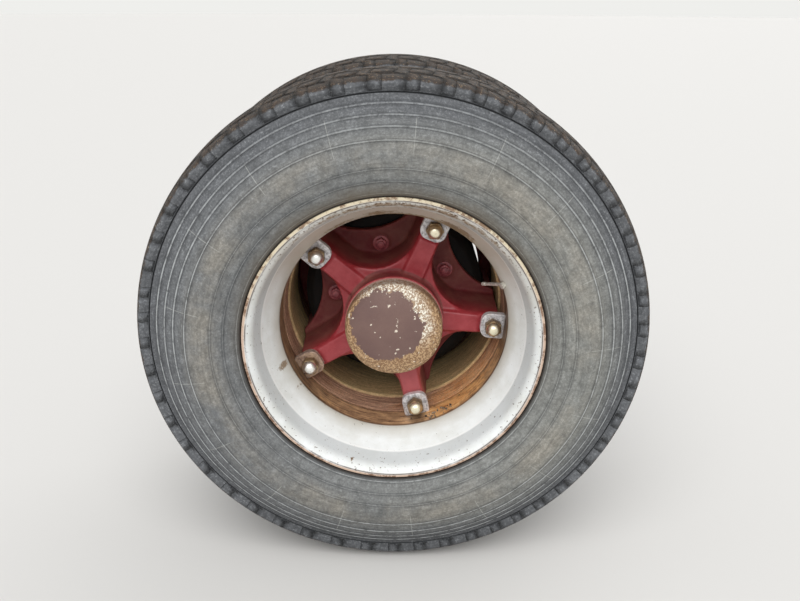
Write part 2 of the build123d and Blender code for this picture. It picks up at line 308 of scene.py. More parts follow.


# Vulcanised rubber, moulded: matt grey-black, bleached on the sidewall and blotched with a tan
# stain over its middle, scratched round the tyre, pale on its worn ridges, with brown mud in the
# tread, darkened as painted shade. Its grain is drawn at 4 mm, coarser than real, to show.
cloud_size, scuff_size, mud_size, grain_size = 143, 18.2, 13.3, 4.35
scratch_width, scratches_long = 6.67, 9  # size across, stretches in a radian
ring_blur = 50  # how far the cloud moves the edges of the bleached and stained rings
vent_lines = 17
rubber, tree = material("weathered_tyre_rubber")
place = in_millimetres(tree)
across = add(tree, "VectorMath", {0: place, 1: (1, 0, 1)}, operation="MULTIPLY")
radius = add(tree, "VectorMath", {0: across}, operation="LENGTH")
parts = add(tree, "SeparateXYZ", {"Vector": place}).outputs
height, side_x = parts["Z"], parts["X"]
cloud = add(tree, "TexNoise", {"Vector": place, "Scale": 1 / cloud_size, "Detail": 6.0, "Roughness": 0.65})
swept = add(tree, "VectorMath", {0: across}, operation="NORMALIZE")
swept = add(tree, "VectorMath", {0: swept, 3: scratches_long}, operation="SCALE")
rise = add(tree, "VectorMath", {0: (0, 1 / scratch_width, 0), 3: radius}, operation="SCALE")
swept = add(tree, "VectorMath", {0: swept, 1: rise}, operation="ADD")
swept = add(tree, "TexNoise", {"Vector": swept, "Scale": 1.0, "Detail": 8.0, "Roughness": 0.75})
grain = add(tree, "TexNoise", {"Vector": place, "Scale": 1 / grain_size, "Detail": 3.0, "Roughness": 0.75})
scuff = add(tree, "TexNoise", {"Vector": place, "Scale": 1 / scuff_size, "Detail": 7.0, "Roughness": 0.78})
# Bleached wall and tan stain, each in its ring with a blurred edge
blurred = add(tree, "Math", {0: cloud, 1: ring_blur, 2: radius}, operation="MULTIPLY_ADD")
bleach = add(
    tree, "MapRange", {"Value": blurred, "From Min": 500, "From Max": 420}, interpolation_type="SMOOTHSTEP"
)
stain_in = add(
    tree, "MapRange", {"Value": blurred, "From Min": 350, "From Max": 400}, interpolation_type="SMOOTHSTEP"
)
stain_out = add(
    tree, "MapRange", {"Value": blurred, "From Min": 450, "From Max": 410}, interpolation_type="SMOOTHSTEP"
)
stain = add(tree, "Math", {0: stain_in, 1: stain_out}, operation="MULTIPLY")
blotch = add(tree, "MapRange", {"Value": cloud, "From Min": 0.38, "From Max": 0.60, "To Max": 0.62})
stain = add(tree, "Math", {0: stain, 1: blotch}, operation="MULTIPLY")
right = add(tree, "MapRange", {"Value": side_x, "From Min": -350, "From Max": 350})
wall = add(tree, "Mix", {"Factor": right, "A": linear("#6c6e6f"), "B": linear("#7e7f7b")}, data_type="RGBA")
colour = add(tree, "Mix", {"Factor": bleach, "A": linear("#5c5e61"), "B": wall}, data_type="RGBA")
colour = add(tree, "Mix", {"Factor": stain, "A": colour, "B": linear("#918b7f")}, data_type="RGBA")
# Mottle, speckle and scratches, darker towards the ground
shades = (
    {"Value": scuff, "From Min": 0.3, "From Max": 0.7, "To Min": 0.68, "To Max": 1.34},
    {"Value": grain, "From Min": 0.3, "From Max": 0.7, "To Min": 0.75, "To Max": 1.22},
    {"Value": swept, "From Min": 0.32, "From Max": 0.68, "To Min": 0.74, "To Max": 1.26},
    {"Value": height, "From Min": -300, "From Max": -450, "To Min": 1, "To Max": 0.74},
)
for reach in shades:
    shade = add(tree, "MapRange", reach)
    colour = add(tree, "VectorMath", {0: colour, 3: shade}, operation="SCALE")
pale = add(tree, "MapRange", {"Value": grain, "From Min": 0.52, "From Max": 0.68, "To Max": 0.45})
fade = add(tree, "MapRange", {"Value": radius, "From Min": 400, "From Max": 460, "To Min": 0.4})
scraped = add(tree, "MapRange", {"Value": swept, "From Min": 0.46, "From Max": 0.60, "To Min": 0.25})
pale = add(tree, "Math", {0: pale, 1: fade}, operation="MULTIPLY")
pale = add(tree, "Math", {0: pale, 1: scraped}, operation="MULTIPLY")
colour = add(tree, "Mix", {"Factor": pale, "A": colour, "B": linear("#b4b7b9")}, data_type="RGBA")
# Thin radial flash lines of the mould's vents
vent = add(tree, "Math", {0: height, 1: side_x}, operation="ARCTAN2")
vent = add(tree, "Math", {0: vent, 1: vent_lines / tau}, operation="MULTIPLY")
vent = add(tree, "Math", {0: vent}, operation="FRACT")
vent = add(tree, "MapRange", {"Value": vent, "From Min": 0.012, "From Max": 0.004})
vent_end = add(tree, "MapRange", {"Value": blurred, "From Min": 475, "From Max": 470})
vent_foot = add(tree, "MapRange", {"Value": blurred, "From Min": 405, "From Max": 410})
for limit in (vent_end, vent_foot, scuff):
    vent = add(tree, "Math", {0: vent, 1: limit}, operation="MULTIPLY")
colour = add(tree, "Mix", {"Factor": vent, "A": colour, "B": linear("#b9bab4")}, data_type="RGBA")
# Worn ridges and darkened feet, as written on the vertices
tone = add(tree, "Attribute", attribute_name="tone").outputs["Fac"]
worn = add(tree, "MapRange", {"Value": tone, "From Min": 0.3, "From Max": 1.3, "To Max": 0.85})
broken = add(tree, "MapRange", {"Value": scuff, "From Min": 0.36, "From Max": 0.52})
high = add(tree, "MapRange", {"Value": height, "From Min": 200, "From Max": 400, "To Min": 1, "To Max": 0.4})
worn = add(tree, "Math", {0: worn, 1: broken}, operation="MULTIPLY")
worn = add(tree, "Math", {0: worn, 1: high}, operation="MULTIPLY")
darkened = add(tree, "MapRange", {"Value": tone, "From Min": -0.1, "From Max": -1.0, "To Max": 0.8})
colour = add(tree, "Mix", {"Factor": worn, "A": colour, "B": linear("#b5b8b8")}, data_type="RGBA")
colour = add(tree, "Mix", {"Factor": darkened, "A": colour, "B": linear("#25272a")}, data_type="RGBA")
# Dust over the upper bead, and the dark line where it meets the rim
up = add(tree, "MapRange", {"Value": height, "From Min": -150, "From Max": 250})
bead = add(tree, "MapRange", {"Value": blurred, "From Min": 355, "From Max": 325, "To Max": 0.75})
bead = add(tree, "Math", {0: bead, 1: up}, operation="MULTIPLY")
colour = add(tree, "Mix", {"Factor": bead, "A": colour, "B": linear("#6b6152")}, data_type="RGBA")
contact = add(tree, "MapRange", {"Value": radius, "From Min": 303.5, "From Max": 301.5, "To Max": 0.85})
colour = add(tree, "Mix", {"Factor": contact, "A": colour, "B": linear("#2b2520")}, data_type="RGBA")
# Mud in the tread, with crumbs of grit; its brown is darkened as painted shade
mud = add(tree, "Attribute", attribute_name="mud").outputs["Fac"]
clods = add(tree, "TexNoise", {"Vector": place, "Scale": 1 / mud_size, "Detail": 6.0, "Roughness": 0.75})
lumps = add(
    tree, "MapRange", {"Value": clods, "From Min": 0.35, "From Max": 0.65}, interpolation_type="SMOOTHSTEP"
)
crumbs = add(tree, "MapRange", {"Value": grain, "From Min": 0.60, "From Max": 0.66})
shaded_earth = add(tree, "Mix", {"Factor": lumps, "A": linear("#150f0a"), "B": linear("#3d2c1d")}, data_type="RGBA")
shaded_earth = add(tree, "Mix", {"Factor": crumbs, "A": shaded_earth, "B": linear("#937b5c")}, data_type="RGBA")
muddy = add(tree, "Math", {0: clods, 1: 1.2, 2: mud}, operation="MULTIPLY_ADD")
muddy = add(tree, "MapRange", {"Value": muddy, "From Min": 0.98, "From Max": 1.25, "To Max": 0.92})
colour = add(tree, "Mix", {"Factor": muddy, "A": colour, "B": shaded_earth}, data_type="RGBA")
relief = add(tree, "Math", {0: scuff, 1: 0.5, 2: grain}, operation="MULTIPLY_ADD")
relief = add(tree, "Math", {0: lumps, 1: muddy, 2: relief}, operation="MULTIPLY_ADD")
bumps = add(tree, "Bump", {"Height": relief, "Strength": 0.5, "Distance": 0.001})
surface = add(tree, "BsdfPrincipled", {"Base Color": colour, "Roughness": 0.75, "Normal": bumps})
add(tree, "OutputMaterial", {"Surface": surface})

for side, (middle, turn) in tyre_places.items():
    piece = shown(tyre(middle, turn), side + "_tyre_shown", [rubber], crease=38)
    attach(piece, "twin_wheel")
    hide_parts(side + "_tyre")


# Demountable rims: rolled steel hoops with a rounded flange at each side, a sloping seat for the
# tyre's bead and a deep well; the long side of the well rests on the cast wheel. Painted pale grey,
# with rust where the paint has broken.
axle = Matrix.Scale(0.001, 4) @ Matrix.Translation((0, -axle_end, 0)) @ Matrix.Rotation(-pi / 2, 4, "X")


def turned(outline, steps=256, corner_steps=4, row_step=0):
    """Body of revolution about its own Z from rows of height, radius and how far each corner is rounded.
    Rows no further apart than row_step let what is written on the vertices vary between the corners."""
    bm = bmesh.new()
    corners = [bm.verts.new((radius, 0, height)) for height, radius, _ in outline]
    open_ended = outline[0][1] == 0 and outline[-1][1] == 0
    pairs = list(zip(corners, corners[1:] + corners[:1]))
    for pair in pairs[:-1] if open_ended else pairs:
        bm.edges.new(pair)
    for corner, (_, _, rounding) in zip(corners, outline):
        if rounding:
            bmesh.ops.bevel(
                bm, geom=[corner], offset=rounding, affect="VERTICES", segments=corner_steps, profile=0.5,
                material=-1,
            )
    for edge in bm.edges[:]:
        if row_step and edge.calc_length() > row_step:
            bmesh.ops.subdivide_edges(bm, edges=[edge], cuts=int(edge.calc_length() / row_step))
    whole = bm.verts[:] + bm.edges[:]
    bmesh.ops.spin(bm, geom=whole, axis=(0, 0, 1), angle=tau, steps=steps, use_merge=True)
    bmesh.ops.remove_doubles(bm, verts=bm.verts, dist=merge_distance)
    bmesh.ops.recalc_face_normals(bm, faces=bm.faces)
    return bm


rim_outline = (
    (0.0, 298.4, 2.4), (0.0, 291.4, 1.6), (3.0, 288.6, 1.0), (6.2, 284.6, 3), (14, 278.5, 5),
    (54.0, 267.8, 5), (110, 238, 7), (178, 238, 7), (202, 273.4, 5), (221, 278.5, 5),
    (229.5, 285.5, 3), (235, 298.4, 2.4), (229.2, 298.4, 1.6), (226, 287.5, 2), (206, 280.3, 2),
    (182, 244.8, 4), (108.3, 244.8, 4), (52.5, 274.6, 4), (9, 287.5, 2), (5.8, 298.4, 1.6),
)  # depth, radius, rounding
inner_rim_depth = 578
profile_step = 9
rim_marks = {
    "outer": (
        (80, 106, 52, 14, 0.52), (60, 94, 14, 22, 0.58), (96, 90, 12, 20, 0.48), (116, 98, 14, 14, 0.48),
        (200, 92, 3.0, 24, 0.5), (214, 97, 2.2, 18, 0.42), (252, 17, 1.2, 8, 0.6), (85, 9, 70, 9, 0.5),
        (85, 56, 55, 7, 0.4), (330, 109, 40, 5, 0.26), (270, 109, 50, 5, 0.3), (225, 109, 40, 6, 0.36),
    ),
    "inner": ((200, 90, 40, 60, 0.6), (80, 60, 50, 60, 0.6), (320, 100, 30, 60, 0.7)),
}  # angle, depth, half-angle, half-depth, strength, as in the next two
well_wet = ((306, 146, 28, 44, 0.8), (340, 150, 14, 30, 0.4), (232, 128, 10, 14, 0.4))
# Painted shade in the well behind the clamps, written as the attribute dark
well_shade = ((4, 140, 24, 60, 0.9), (200, 130, 36, 60, 0.6), (283, 140, 5, 40, 0.7), (180, 150, 20, 40, 0.4))


def weathered(bm, marks, name="rust"):
    """Writes how rusty each vertex of a turned piece is, from marks of angle, depth, spread and strength;
    under another name it writes the wet rust or the painted shade of such marks.
    """
    layer = bm.verts.layers.float.new(name)
    for v in bm.verts:
        here = Vector((v.co.x, -v.co.y)).angle_signed(Vector((1, 0)), 0)
        for angle, depth, wide, long, strength in marks:
            turn = (here - radians(angle) + pi) % tau - pi
            away = (turn / radians(wide)) ** 2 + ((v.co.z - depth) / long) ** 2
            v[layer] = max(v[layer], strength * max(0, 1 - away) ** 0.5)


def coordinates(tree):
    """Object coordinates, the radius about the axle, the depth along it and the height, in millimetres."""
    place = in_millimetres(tree)
    across = add(tree, "VectorMath", {0: place, 1: (1, 0, 1)}, operation="MULTIPLY")
    radius = add(tree, "VectorMath", {0: across}, operation="LENGTH")
    parts = add(tree, "SeparateXYZ", {"Vector": place}).outputs
    depth = add(tree, "Math", {0: parts["Y"], 1: axle_end}, operation="ADD")
    return place, radius, depth, parts["Z"]


# Alkyd enamel, sprayed over rolled steel: smooth, pale grey and half gloss. Rust shows as brown
# specks, stains and a bare lip, paler above as a painted highlight; specks are drawn at 6 mm, coarser than
# real, to show.
dust_size, patch_size, speck_size = 71.4, 22.2, 5.88
rust_streak = (1 / 62.5, 1 / 5.26, 1 / 62.5)  # streaks 62 mm long round the well and 5 mm wide
seat_crease, lip_line_r = 54.5, 291.2
enamel_colours = {"outer": ("#eef1f0", "#d9dad4"), "inner": ("#8f8a80", "#5f554a")}  # clean, grimy
for side, marks in rim_marks.items():
    enamel, tree = material(side + "_rim_enamel")
    place, radius, depth, height = coordinates(tree)
    if side == "inner":
        depth = add(tree, "Math", {0: inner_rim_depth, 1: depth}, operation="SUBTRACT")
    dust = add(
        tree, "TexNoise", {"Vector": place, "Scale": 1 / dust_size, "Detail": 6.0, "Roughness": 0.65}
    )
    specks = add(
        tree, "TexNoise", {"Vector": place, "Scale": 1 / speck_size, "Detail": 4.0, "Roughness": 0.65}
    )
    patches = add(
        tree, "TexNoise", {"Vector": place, "Scale": 1 / patch_size, "Detail": 8.0, "Roughness": 0.75}
    )
    # Paint, with a brown film over the upper half, painted shade on the seat, a painted highlight along the
    # crease and painted shade at the slope's inner end
    clean, grimy = enamel_colours[side]
    upper = add(
        tree, "MapRange", {"Value": height, "From Min": 20, "From Max": 200}, interpolation_type="SMOOTHSTEP"
    )
    cloudy = add(tree, "MapRange", {"Value": dust, "From Min": 0.38, "From Max": 0.70})
    colour = add(tree, "Mix", {"Factor": cloudy, "A": linear(clean), "B": linear(grimy)}, data_type="RGBA")
    below_lip = add(tree, "MapRange", {"Value": depth, "From Min": 7, "From Max": 24})
    film = add(tree, "Math", {0: below_lip, 1: 0.4, 2: 0.32}, operation="MULTIPLY_ADD")
    film = add(tree, "Math", {0: upper, 1: film}, operation="MULTIPLY")
    colour = add(tree, "Mix", {"Factor": film, "A": colour, "B": linear("#a58f78")}, data_type="RGBA")
    # Painted shade on the seat
    seat_shade = add(tree, "MapRange", {"Value": depth, "From Min": 54, "From Max": 50, "To Max": 0.55})
    seat_shade = add(tree, "Math", {0: seat_shade, 1: below_lip}, operation="MULTIPLY")
    colour = add(tree, "Mix", {"Factor": seat_shade, "A": colour, "B": linear("#bcc2c3")}, data_type="RGBA")
    # Painted highlight along the crease between seat and slope
    crease = add(tree, "Math", {0: depth, 1: seat_crease}, operation="SUBTRACT")
    crease = add(tree, "Math", {0: crease}, operation="ABSOLUTE")
    crease = add(tree, "MapRange", {"Value": crease, "From Min": 3.0, "From Max": 0.8, "To Max": 0.5})
    colour = add(tree, "Mix", {"Factor": crease, "A": colour, "B": linear("#fbfbf9")}, data_type="RGBA")
    # Painted shade down the slope's inner end, towards the well
    slope_shade = add(tree, "MapRange", {"Value": depth, "From Min": 80, "From Max": 108, "To Max": 0.65})
    colour = add(tree, "Mix", {"Factor": slope_shade, "A": colour, "B": linear("#b3ad9d")}, data_type="RGBA")
    # Rust where the marks lie, and specks that grow towards the lip
    amount = add(tree, "Attribute", attribute_name="rust").outputs["Fac"]
    eaten = add(tree, "Mix", {"Factor": 0.45, "A": patches, "B": specks})
    eaten = add(tree, "Math", {0: eaten, 1: amount}, operation="ADD")
    eaten = add(tree, "MapRange", {"Value": eaten, "From Min": 0.84, "From Max": 0.98, "To Max": 0.85})
    stained = add(
        tree, "Mix", {"Factor": patches, "A": linear("#4a3320"), "B": linear("#9d7d54")}, data_type="RGBA"
    )
    colour = add(tree, "Mix", {"Factor": eaten, "A": colour, "B": stained}, data_type="RGBA")
    near_lip = add(
        tree, "MapRange", {"Value": radius, "From Min": 255, "From Max": 290, "To Min": 0.69, "To Max": 0.61}
    )
    near_lip = add(tree, "Math", {0: amount, 1: -0.12, 2: near_lip}, operation="MULTIPLY_ADD")
    spot = add(tree, "Math", {0: specks, 1: near_lip}, operation="SUBTRACT")
    spot = add(tree, "MapRange", {"Value": spot, "From Min": 0.0, "From Max": 0.03, "To Max": 0.85})
    colour = add(tree, "Mix", {"Factor": spot, "A": colour, "B": linear("#59402b")}, data_type="RGBA")
    # Bare lip, gnawed by rust and paler on its upper half as a painted highlight, and the brown line under it
    lip = add(tree, "MapRange", {"Value": radius, "From Min": 292, "From Max": 293.5})
    bare_and_highlit = add(
        tree, "Mix", {"Factor": upper, "A": linear("#cfb5a1"), "B": linear("#dccfb2")}, data_type="RGBA"
    )
    gnawed = add(tree, "MapRange", {"Value": patches, "From Min": 0.48, "From Max": 0.56, "To Max": 0.85})
    bare_and_highlit = add(tree, "Mix", {"Factor": gnawed, "A": bare_and_highlit, "B": linear("#74523a")}, data_type="RGBA")
    colour = add(tree, "Mix", {"Factor": lip, "A": colour, "B": bare_and_highlit}, data_type="RGBA")
    under = add(tree, "Math", {0: radius, 1: lip_line_r}, operation="SUBTRACT")
    under = add(tree, "Math", {0: under}, operation="ABSOLUTE")
    under = add(tree, "MapRange", {"Value": under, "From Min": 1.6, "From Max": 0.4})
    broken = add(
        tree, "MapRange", {"Value": dust, "From Min": 0.38, "From Max": 0.5, "To Min": 0.25, "To Max": 0.9}
    )
    under = add(tree, "Math", {0: under, 1: broken}, operation="MULTIPLY")
    colour = add(tree, "Mix", {"Factor": under, "A": colour, "B": linear("#4a3222")}, data_type="RGBA")
    # Well: bare rust in streaks, orange where water stands, painted shade behind the clamps, and dark at its
    # edge
    inside = add(tree, "MapRange", {"Value": depth, "From Min": 110.5, "From Max": 113.5})
    along = add(tree, "VectorMath", {0: place, 1: rust_streak}, operation="MULTIPLY")
    streaks = add(tree, "TexNoise", {"Vector": along, "Scale": 1.0, "Detail": 8.0, "Roughness": 0.7})
    streaky = add(tree, "Math", {0: patches, 1: 0.5, 2: streaks}, operation="MULTIPLY_ADD")
    streaky = add(tree, "MapRange", {"Value": streaky, "From Min": 0.60, "From Max": 0.92})
    rusty = add(
        tree, "Mix", {"Factor": streaky, "A": linear("#5b4030"), "B": linear("#d9ae82")}, data_type="RGBA"
    )
    wet = add(tree, "Attribute", attribute_name="wet").outputs["Fac"]
    wet = add(tree, "Math", {0: wet, 1: 0.5, 2: patches}, operation="MULTIPLY_ADD")
    wet = add(tree, "MapRange", {"Value": wet, "From Min": 0.66, "From Max": 0.92, "To Max": 0.85})
    bright = add(
        tree, "Mix", {"Factor": streaky, "A": linear("#de8c42"), "B": linear("#fbd090")}, data_type="RGBA"
    )
    rusty = add(tree, "Mix", {"Factor": wet, "A": rusty, "B": bright}, data_type="RGBA")
    # Painted shade behind the clamps
    shaded = add(tree, "Attribute", attribute_name="dark").outputs["Fac"]
    shaded = add(tree, "Math", {0: shaded, 1: 0.8}, operation="MULTIPLY")
    rusty = add(tree, "Mix", {"Factor": shaded, "A": rusty, "B": linear("#3a281e")}, data_type="RGBA")
    edge = add(tree, "MapRange", {"Value": depth, "From Min": 121, "From Max": 114, "To Max": 0.75})
    rusty = add(tree, "Mix", {"Factor": edge, "A": rusty, "B": linear("#4a3426")}, data_type="RGBA")
    colour = add(tree, "Mix", {"Factor": inside, "A": colour, "B": rusty}, data_type="RGBA")
    rough = add(tree, "Math", {0: eaten, 1: 0.35, 2: 0.46}, operation="MULTIPLY_ADD")
    scab = add(tree, "Math", {0: eaten, 1: spot}, operation="ADD")
    bumps = add(tree, "Bump", {"Height": scab, "Strength": 0.4, "Distance": 0.0006})
    surface = add(tree, "BsdfPrincipled", {"Base Color": colour, "Roughness": rough, "Normal": bumps})
    add(tree, "OutputMaterial", {"Surface": surface})
    bm = turned(rim_outline, row_step=profile_step)
    weathered(bm, marks)
    weathered(bm, well_wet, "wet")
    weathered(bm, well_shade, "dark")
    if side == "inner":
        bm.transform(Matrix.Translation((0, 0, inner_rim_depth)) @ Matrix.Rotation(pi, 4, "X"))
    bm.transform(axle)
    piece = shown(bm, side + "_rim_shown", [enamel])
    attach(piece, "twin_wheel")
    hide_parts(side + "_rim")


# Spacer band: a rolled steel hoop wedged between the two rims' wells, stepped inwards over most of
# its width and never painted, so it is rusty all round and orange at the bottom where water lies.
band_outline = (
    (178.4, 238, 0.5), (244, 238, 1.2), (246.5, 233, 1.6), (391.8, 233, 3), (399.8, 238, 1),
    (394.2, 246, 1.5), (183.8, 246, 1.5),
)
band_marks = (
    (312, 200, 30, 60, 0.9), (285, 195, 22, 40, 0.5), (340, 200, 18, 60, 0.5), (235, 205, 20, 40, 0.3),
)  # angle, depth, half-angle, half-depth, strength
# Bare rolled steel, rusted in streaks 56 mm long and 5 mm wide, with grit drawn at 5 mm to show
band_streak = (1 / 55.6, 1 / 4.76, 1 / 55.6)
blotch_size, grit_size = 26.3, 4.55
band_step = 244.5
rusty_steel, tree = material("rusty_rolled_steel")
place, radius, depth, height = coordinates(tree)
along = add(tree, "VectorMath", {0: place, 1: band_streak}, operation="MULTIPLY")
streaks = add(tree, "TexNoise", {"Vector": along, "Scale": 1.0, "Detail": 8.0, "Roughness": 0.7})
blotches = add(tree, "TexNoise", {"Vector": place, "Scale": 1 / blotch_size, "Detail": 7.0, "Roughness": 0.7})
grit = add(tree, "TexNoise", {"Vector": place, "Scale": 1 / grit_size, "Detail": 3.0, "Roughness": 0.7})
streaky = add(tree, "MapRange", {"Value": streaks, "From Min": 0.36, "From Max": 0.68})
colour = add(
    tree, "Mix", {"Factor": streaky, "A": linear("#7d5442"), "B": linear("#eec3a0")}, data_type="RGBA"
)
amount = add(tree, "Attribute", attribute_name="rust").outputs["Fac"]
orange = add(tree, "Math", {0: amount, 1: blotches}, operation="MULTIPLY")
orange = add(tree, "MapRange", {"Value": orange, "From Min": 0.12, "From Max": 0.5})
bright = add(
    tree, "Mix", {"Factor": streaky, "A": linear("#e08f48"), "B": linear("#fdd6a0")}, data_type="RGBA"
)
colour = add(tree, "Mix", {"Factor": orange, "A": colour, "B": bright}, data_type="RGBA")
beyond = add(tree, "MapRange", {"Value": depth, "From Min": 243.5, "From Max": 246.5})
olive = add(
    tree, "Mix", {"Factor": streaky, "A": linear("#ac9468"), "B": linear("#e8cd96")}, data_type="RGBA"
)
colour = add(tree, "Mix", {"Factor": beyond, "A": colour, "B": olive}, data_type="RGBA")
step_line = add(tree, "Math", {0: depth, 1: band_step}, operation="SUBTRACT")
step_line = add(tree, "Math", {0: step_line}, operation="ABSOLUTE")
step_line = add(tree, "MapRange", {"Value": step_line, "From Min": 2.2, "From Max": 0.8, "To Max": 0.35})
colour = add(tree, "Mix", {"Factor": step_line, "A": colour, "B": linear("#d8bd85")}, data_type="RGBA")
speckle = add(
    tree, "MapRange", {"Value": grit, "From Min": 0.3, "From Max": 0.7, "To Min": 0.72, "To Max": 1.25}
)
colour = add(tree, "VectorMath", {0: colour, 3: speckle}, operation="SCALE")
relief = add(tree, "Math", {0: streaks, 1: grit}, operation="ADD")
bumps = add(tree, "Bump", {"Height": relief, "Strength": 0.6, "Distance": 0.001})
surface = add(tree, "BsdfPrincipled", {"Base Color": colour, "Roughness": 0.78, "Normal": bumps})
add(tree, "OutputMaterial", {"Surface": surface})
bm = turned(band_outline, row_step=profile_step)
weathered(bm, band_marks)
bm.transform(axle)
spacer = shown(bm, "spacer_band_shown", [rusty_steel])
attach(spacer, "twin_wheel")
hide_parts("spacer_band")


# Cast wheel: one steel casting of hub, web, five spokes and rear ring, with the soft edges of its
# sand mould. Sprayed red, with road dust and painted shade that turn the deep web brown.
bolt_angles = [31 + 72 * i for i in range(5)]
spoke_angles = [-5 + 72 * i for i in range(5)]
bolt_circle_r = 132
boss_depth = 285
casting_grain = 3.4  # size of the cells that the casting is remeshed to
cad_merge_distance = 1e-6  # metres


def joined(bm, part, place):
    """Adds a copy of a part to a mesh, turned and moved to its place."""
    moved = part.copy()
    moved.transform(place)
    mesh = bpy.data.meshes.new("part")
    moved.to_mesh(mesh)
    moved.free()
    bm.from_mesh(mesh)
    bpy.data.meshes.remove(mesh)


def station(angle, radius, depth):
    """Place on the wheel with X outwards along the radius, Z outboard along the axle."""
    c, s = cos(radians(angle)), sin(radians(angle))
    turn = Matrix(((c, -s, 0, radius * c), (0, 0, -1, depth - axle_end), (s, c, 0, radius * s), (0, 0, 0, 1)))
    return Matrix.Scale(0.001, 4) @ turn


casting_bm = bmesh.new()
casting_bm.from_mesh(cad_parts["spoke_wheel"].data)
bmesh.ops.remove_doubles(casting_bm, verts=casting_bm.verts, dist=cad_merge_distance)
boss = turned(((-12, 24, 0), (4, 20, 2), (4, 0, 0), (-12, 0, 0)), steps=40)
for angle in bolt_angles:
    joined(casting_bm, boss, station(angle, bolt_circle_r, boss_depth))
casting = shown(casting_bm, "spoke_wheel_shown", [])
cells = casting.modifiers.new("cells", "REMESH")
cells.mode = "VOXEL"
cells.voxel_size = casting_grain / 1000
soften = casting.modifiers.new("soften", "SMOOTH")
soften.factor = 0.5
soften.iterations = 6
evaluated = casting.evaluated_get(bpy.context.evaluated_depsgraph_get())
soft_mesh = bpy.data.meshes.new_from_object(evaluated)
casting.modifiers.clear()
casting.data = soft_mesh
soft_mesh.shade_smooth()

# Red machinery enamel on sand-cast steel: half gloss, thin, with dust and painted shade in the hollows,
# darker chips and the faint pebble of the sand, drawn at 4 mm to show.
dust_size, chip_size, pebble_size = 45.5, 10.5, 4.17
dust_reach = 50
red_paint, tree = material("red_enamel_on_cast_steel")
place, radius, depth, height = coordinates(tree)
dust = add(tree, "TexNoise", {"Vector": place, "Scale": 1 / dust_size, "Detail": 6.0, "Roughness": 0.7})
pebble = add(tree, "TexNoise", {"Vector": place, "Scale": 1 / pebble_size, "Detail": 2.0})
chips = add(tree, "TexNoise", {"Vector": place, "Scale": 1 / chip_size, "Detail": 6.0, "Roughness": 0.75})
# Brown dust and painted shade deep between the spokes, and painted shade on the hub's neck under the cap
neck_shade = add(tree, "MapRange", {"Value": radius, "From Min": 107.5, "From Max": 104})
neck_depth = add(tree, "MapRange", {"Value": depth, "From Min": 119, "From Max": 126, "To Max": 80})
dust_and_shade = add(tree, "Math", {0: dust, 1: dust_reach, 2: depth}, operation="MULTIPLY_ADD")
dust_and_shade = add(tree, "Math", {0: neck_shade, 1: neck_depth, 2: dust_and_shade}, operation="MULTIPLY_ADD")
dust_and_shade = add(
    tree,
    "MapRange",
    {"Value": dust_and_shade, "From Min": 188, "From Max": 250, "To Max": 0.84},
    interpolation_type="SMOOTHSTEP",
)
faded = add(tree, "MapRange", {"Value": dust, "From Min": 0.35, "From Max": 0.65})
colour = add(tree, "Mix", {"Factor": faded, "A": linear("#8f1f28"), "B": linear("#a63c42")}, data_type="RGBA")
low = add(tree, "MapRange", {"Value": height, "From Min": -50, "From Max": -200, "To Max": 0.6})
colour = add(tree, "Mix", {"Factor": low, "A": colour, "B": linear("#c0686a")}, data_type="RGBA")
brown = add(tree, "Mix", {"Factor": faded, "A": linear("#6f282c"), "B": linear("#805045")}, data_type="RGBA")
colour = add(tree, "Mix", {"Factor": dust_and_shade, "A": colour, "B": brown}, data_type="RGBA")
chipped = add(tree, "MapRange", {"Value": chips, "From Min": 0.64, "From Max": 0.70, "To Max": 0.7})
colour = add(tree, "Mix", {"Factor": chipped, "A": colour, "B": linear("#3a2523")}, data_type="RGBA")
# Paler ridges and edges: rubbed paint and a painted highlight
edge_wear_and_highlight = add(tree, "NewGeometry").outputs["Pointiness"]
edge_wear_and_highlight = add(tree, "MapRange", {"Value": edge_wear_and_highlight, "From Min": 0.52, "From Max": 0.58, "To Max": 0.65})
colour = add(tree, "Mix", {"Factor": edge_wear_and_highlight, "A": colour, "B": linear("#cf7073")}, data_type="RGBA")
rough = add(tree, "MapRange", {"Value": dust_and_shade, "To Min": 0.36, "To Max": 0.75})
bumps = add(tree, "Bump", {"Height": pebble, "Strength": 0.25, "Distance": 0.0008})
surface = add(tree, "BsdfPrincipled", {"Base Color": colour, "Roughness": rough, "Normal": bumps})
add(tree, "OutputMaterial", {"Surface": surface})
soft_mesh.materials.append(red_paint)
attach(casting, "twin_wheel")
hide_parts("spoke_wheel")


# Drum bolts: steel bolts from inside the drum, each held by a hexagon nut on a washer on its boss,
# painted over with the casting. Their red is drawn paler than the casting's as painted light, and
# the paint has rubbed in patches to a paler red still.
bolt_seat = 281
first_nut_turn, next_nut_turn = 0.4, 1.9  # radians


def mottled(name, patch_size, grain, reach, colours, finish):
    """Material in patches of two colours, from the size, grain and reach of the patches and the finish."""
    made, tree = material(name)
    patch = add(tree, "TexNoise", {"Vector": in_millimetres(tree), "Scale": 1 / patch_size, **grain})
    patch = add(tree, "MapRange", {"Value": patch, **reach})
    dark, pale = (linear(hex_colour) for hex_colour in colours)
    colour = add(tree, "Mix", {"Factor": patch, "A": dark, "B": pale}, data_type="RGBA")
    surface = add(tree, "BsdfPrincipled", {"Base Color": colour, **finish})
    add(tree, "OutputMaterial", {"Surface": surface})
    return made


bolt_paint_lit = mottled(
    "worn_red_enamel_with_painted_light",
    patch_size=11.1,
    grain={"Detail": 5.0, "Roughness": 0.7},
    reach={"From Min": 0.38, "From Max": 0.62},
    colours=("#82303a", "#bd6266"),
    finish={"Roughness": 0.35},
)


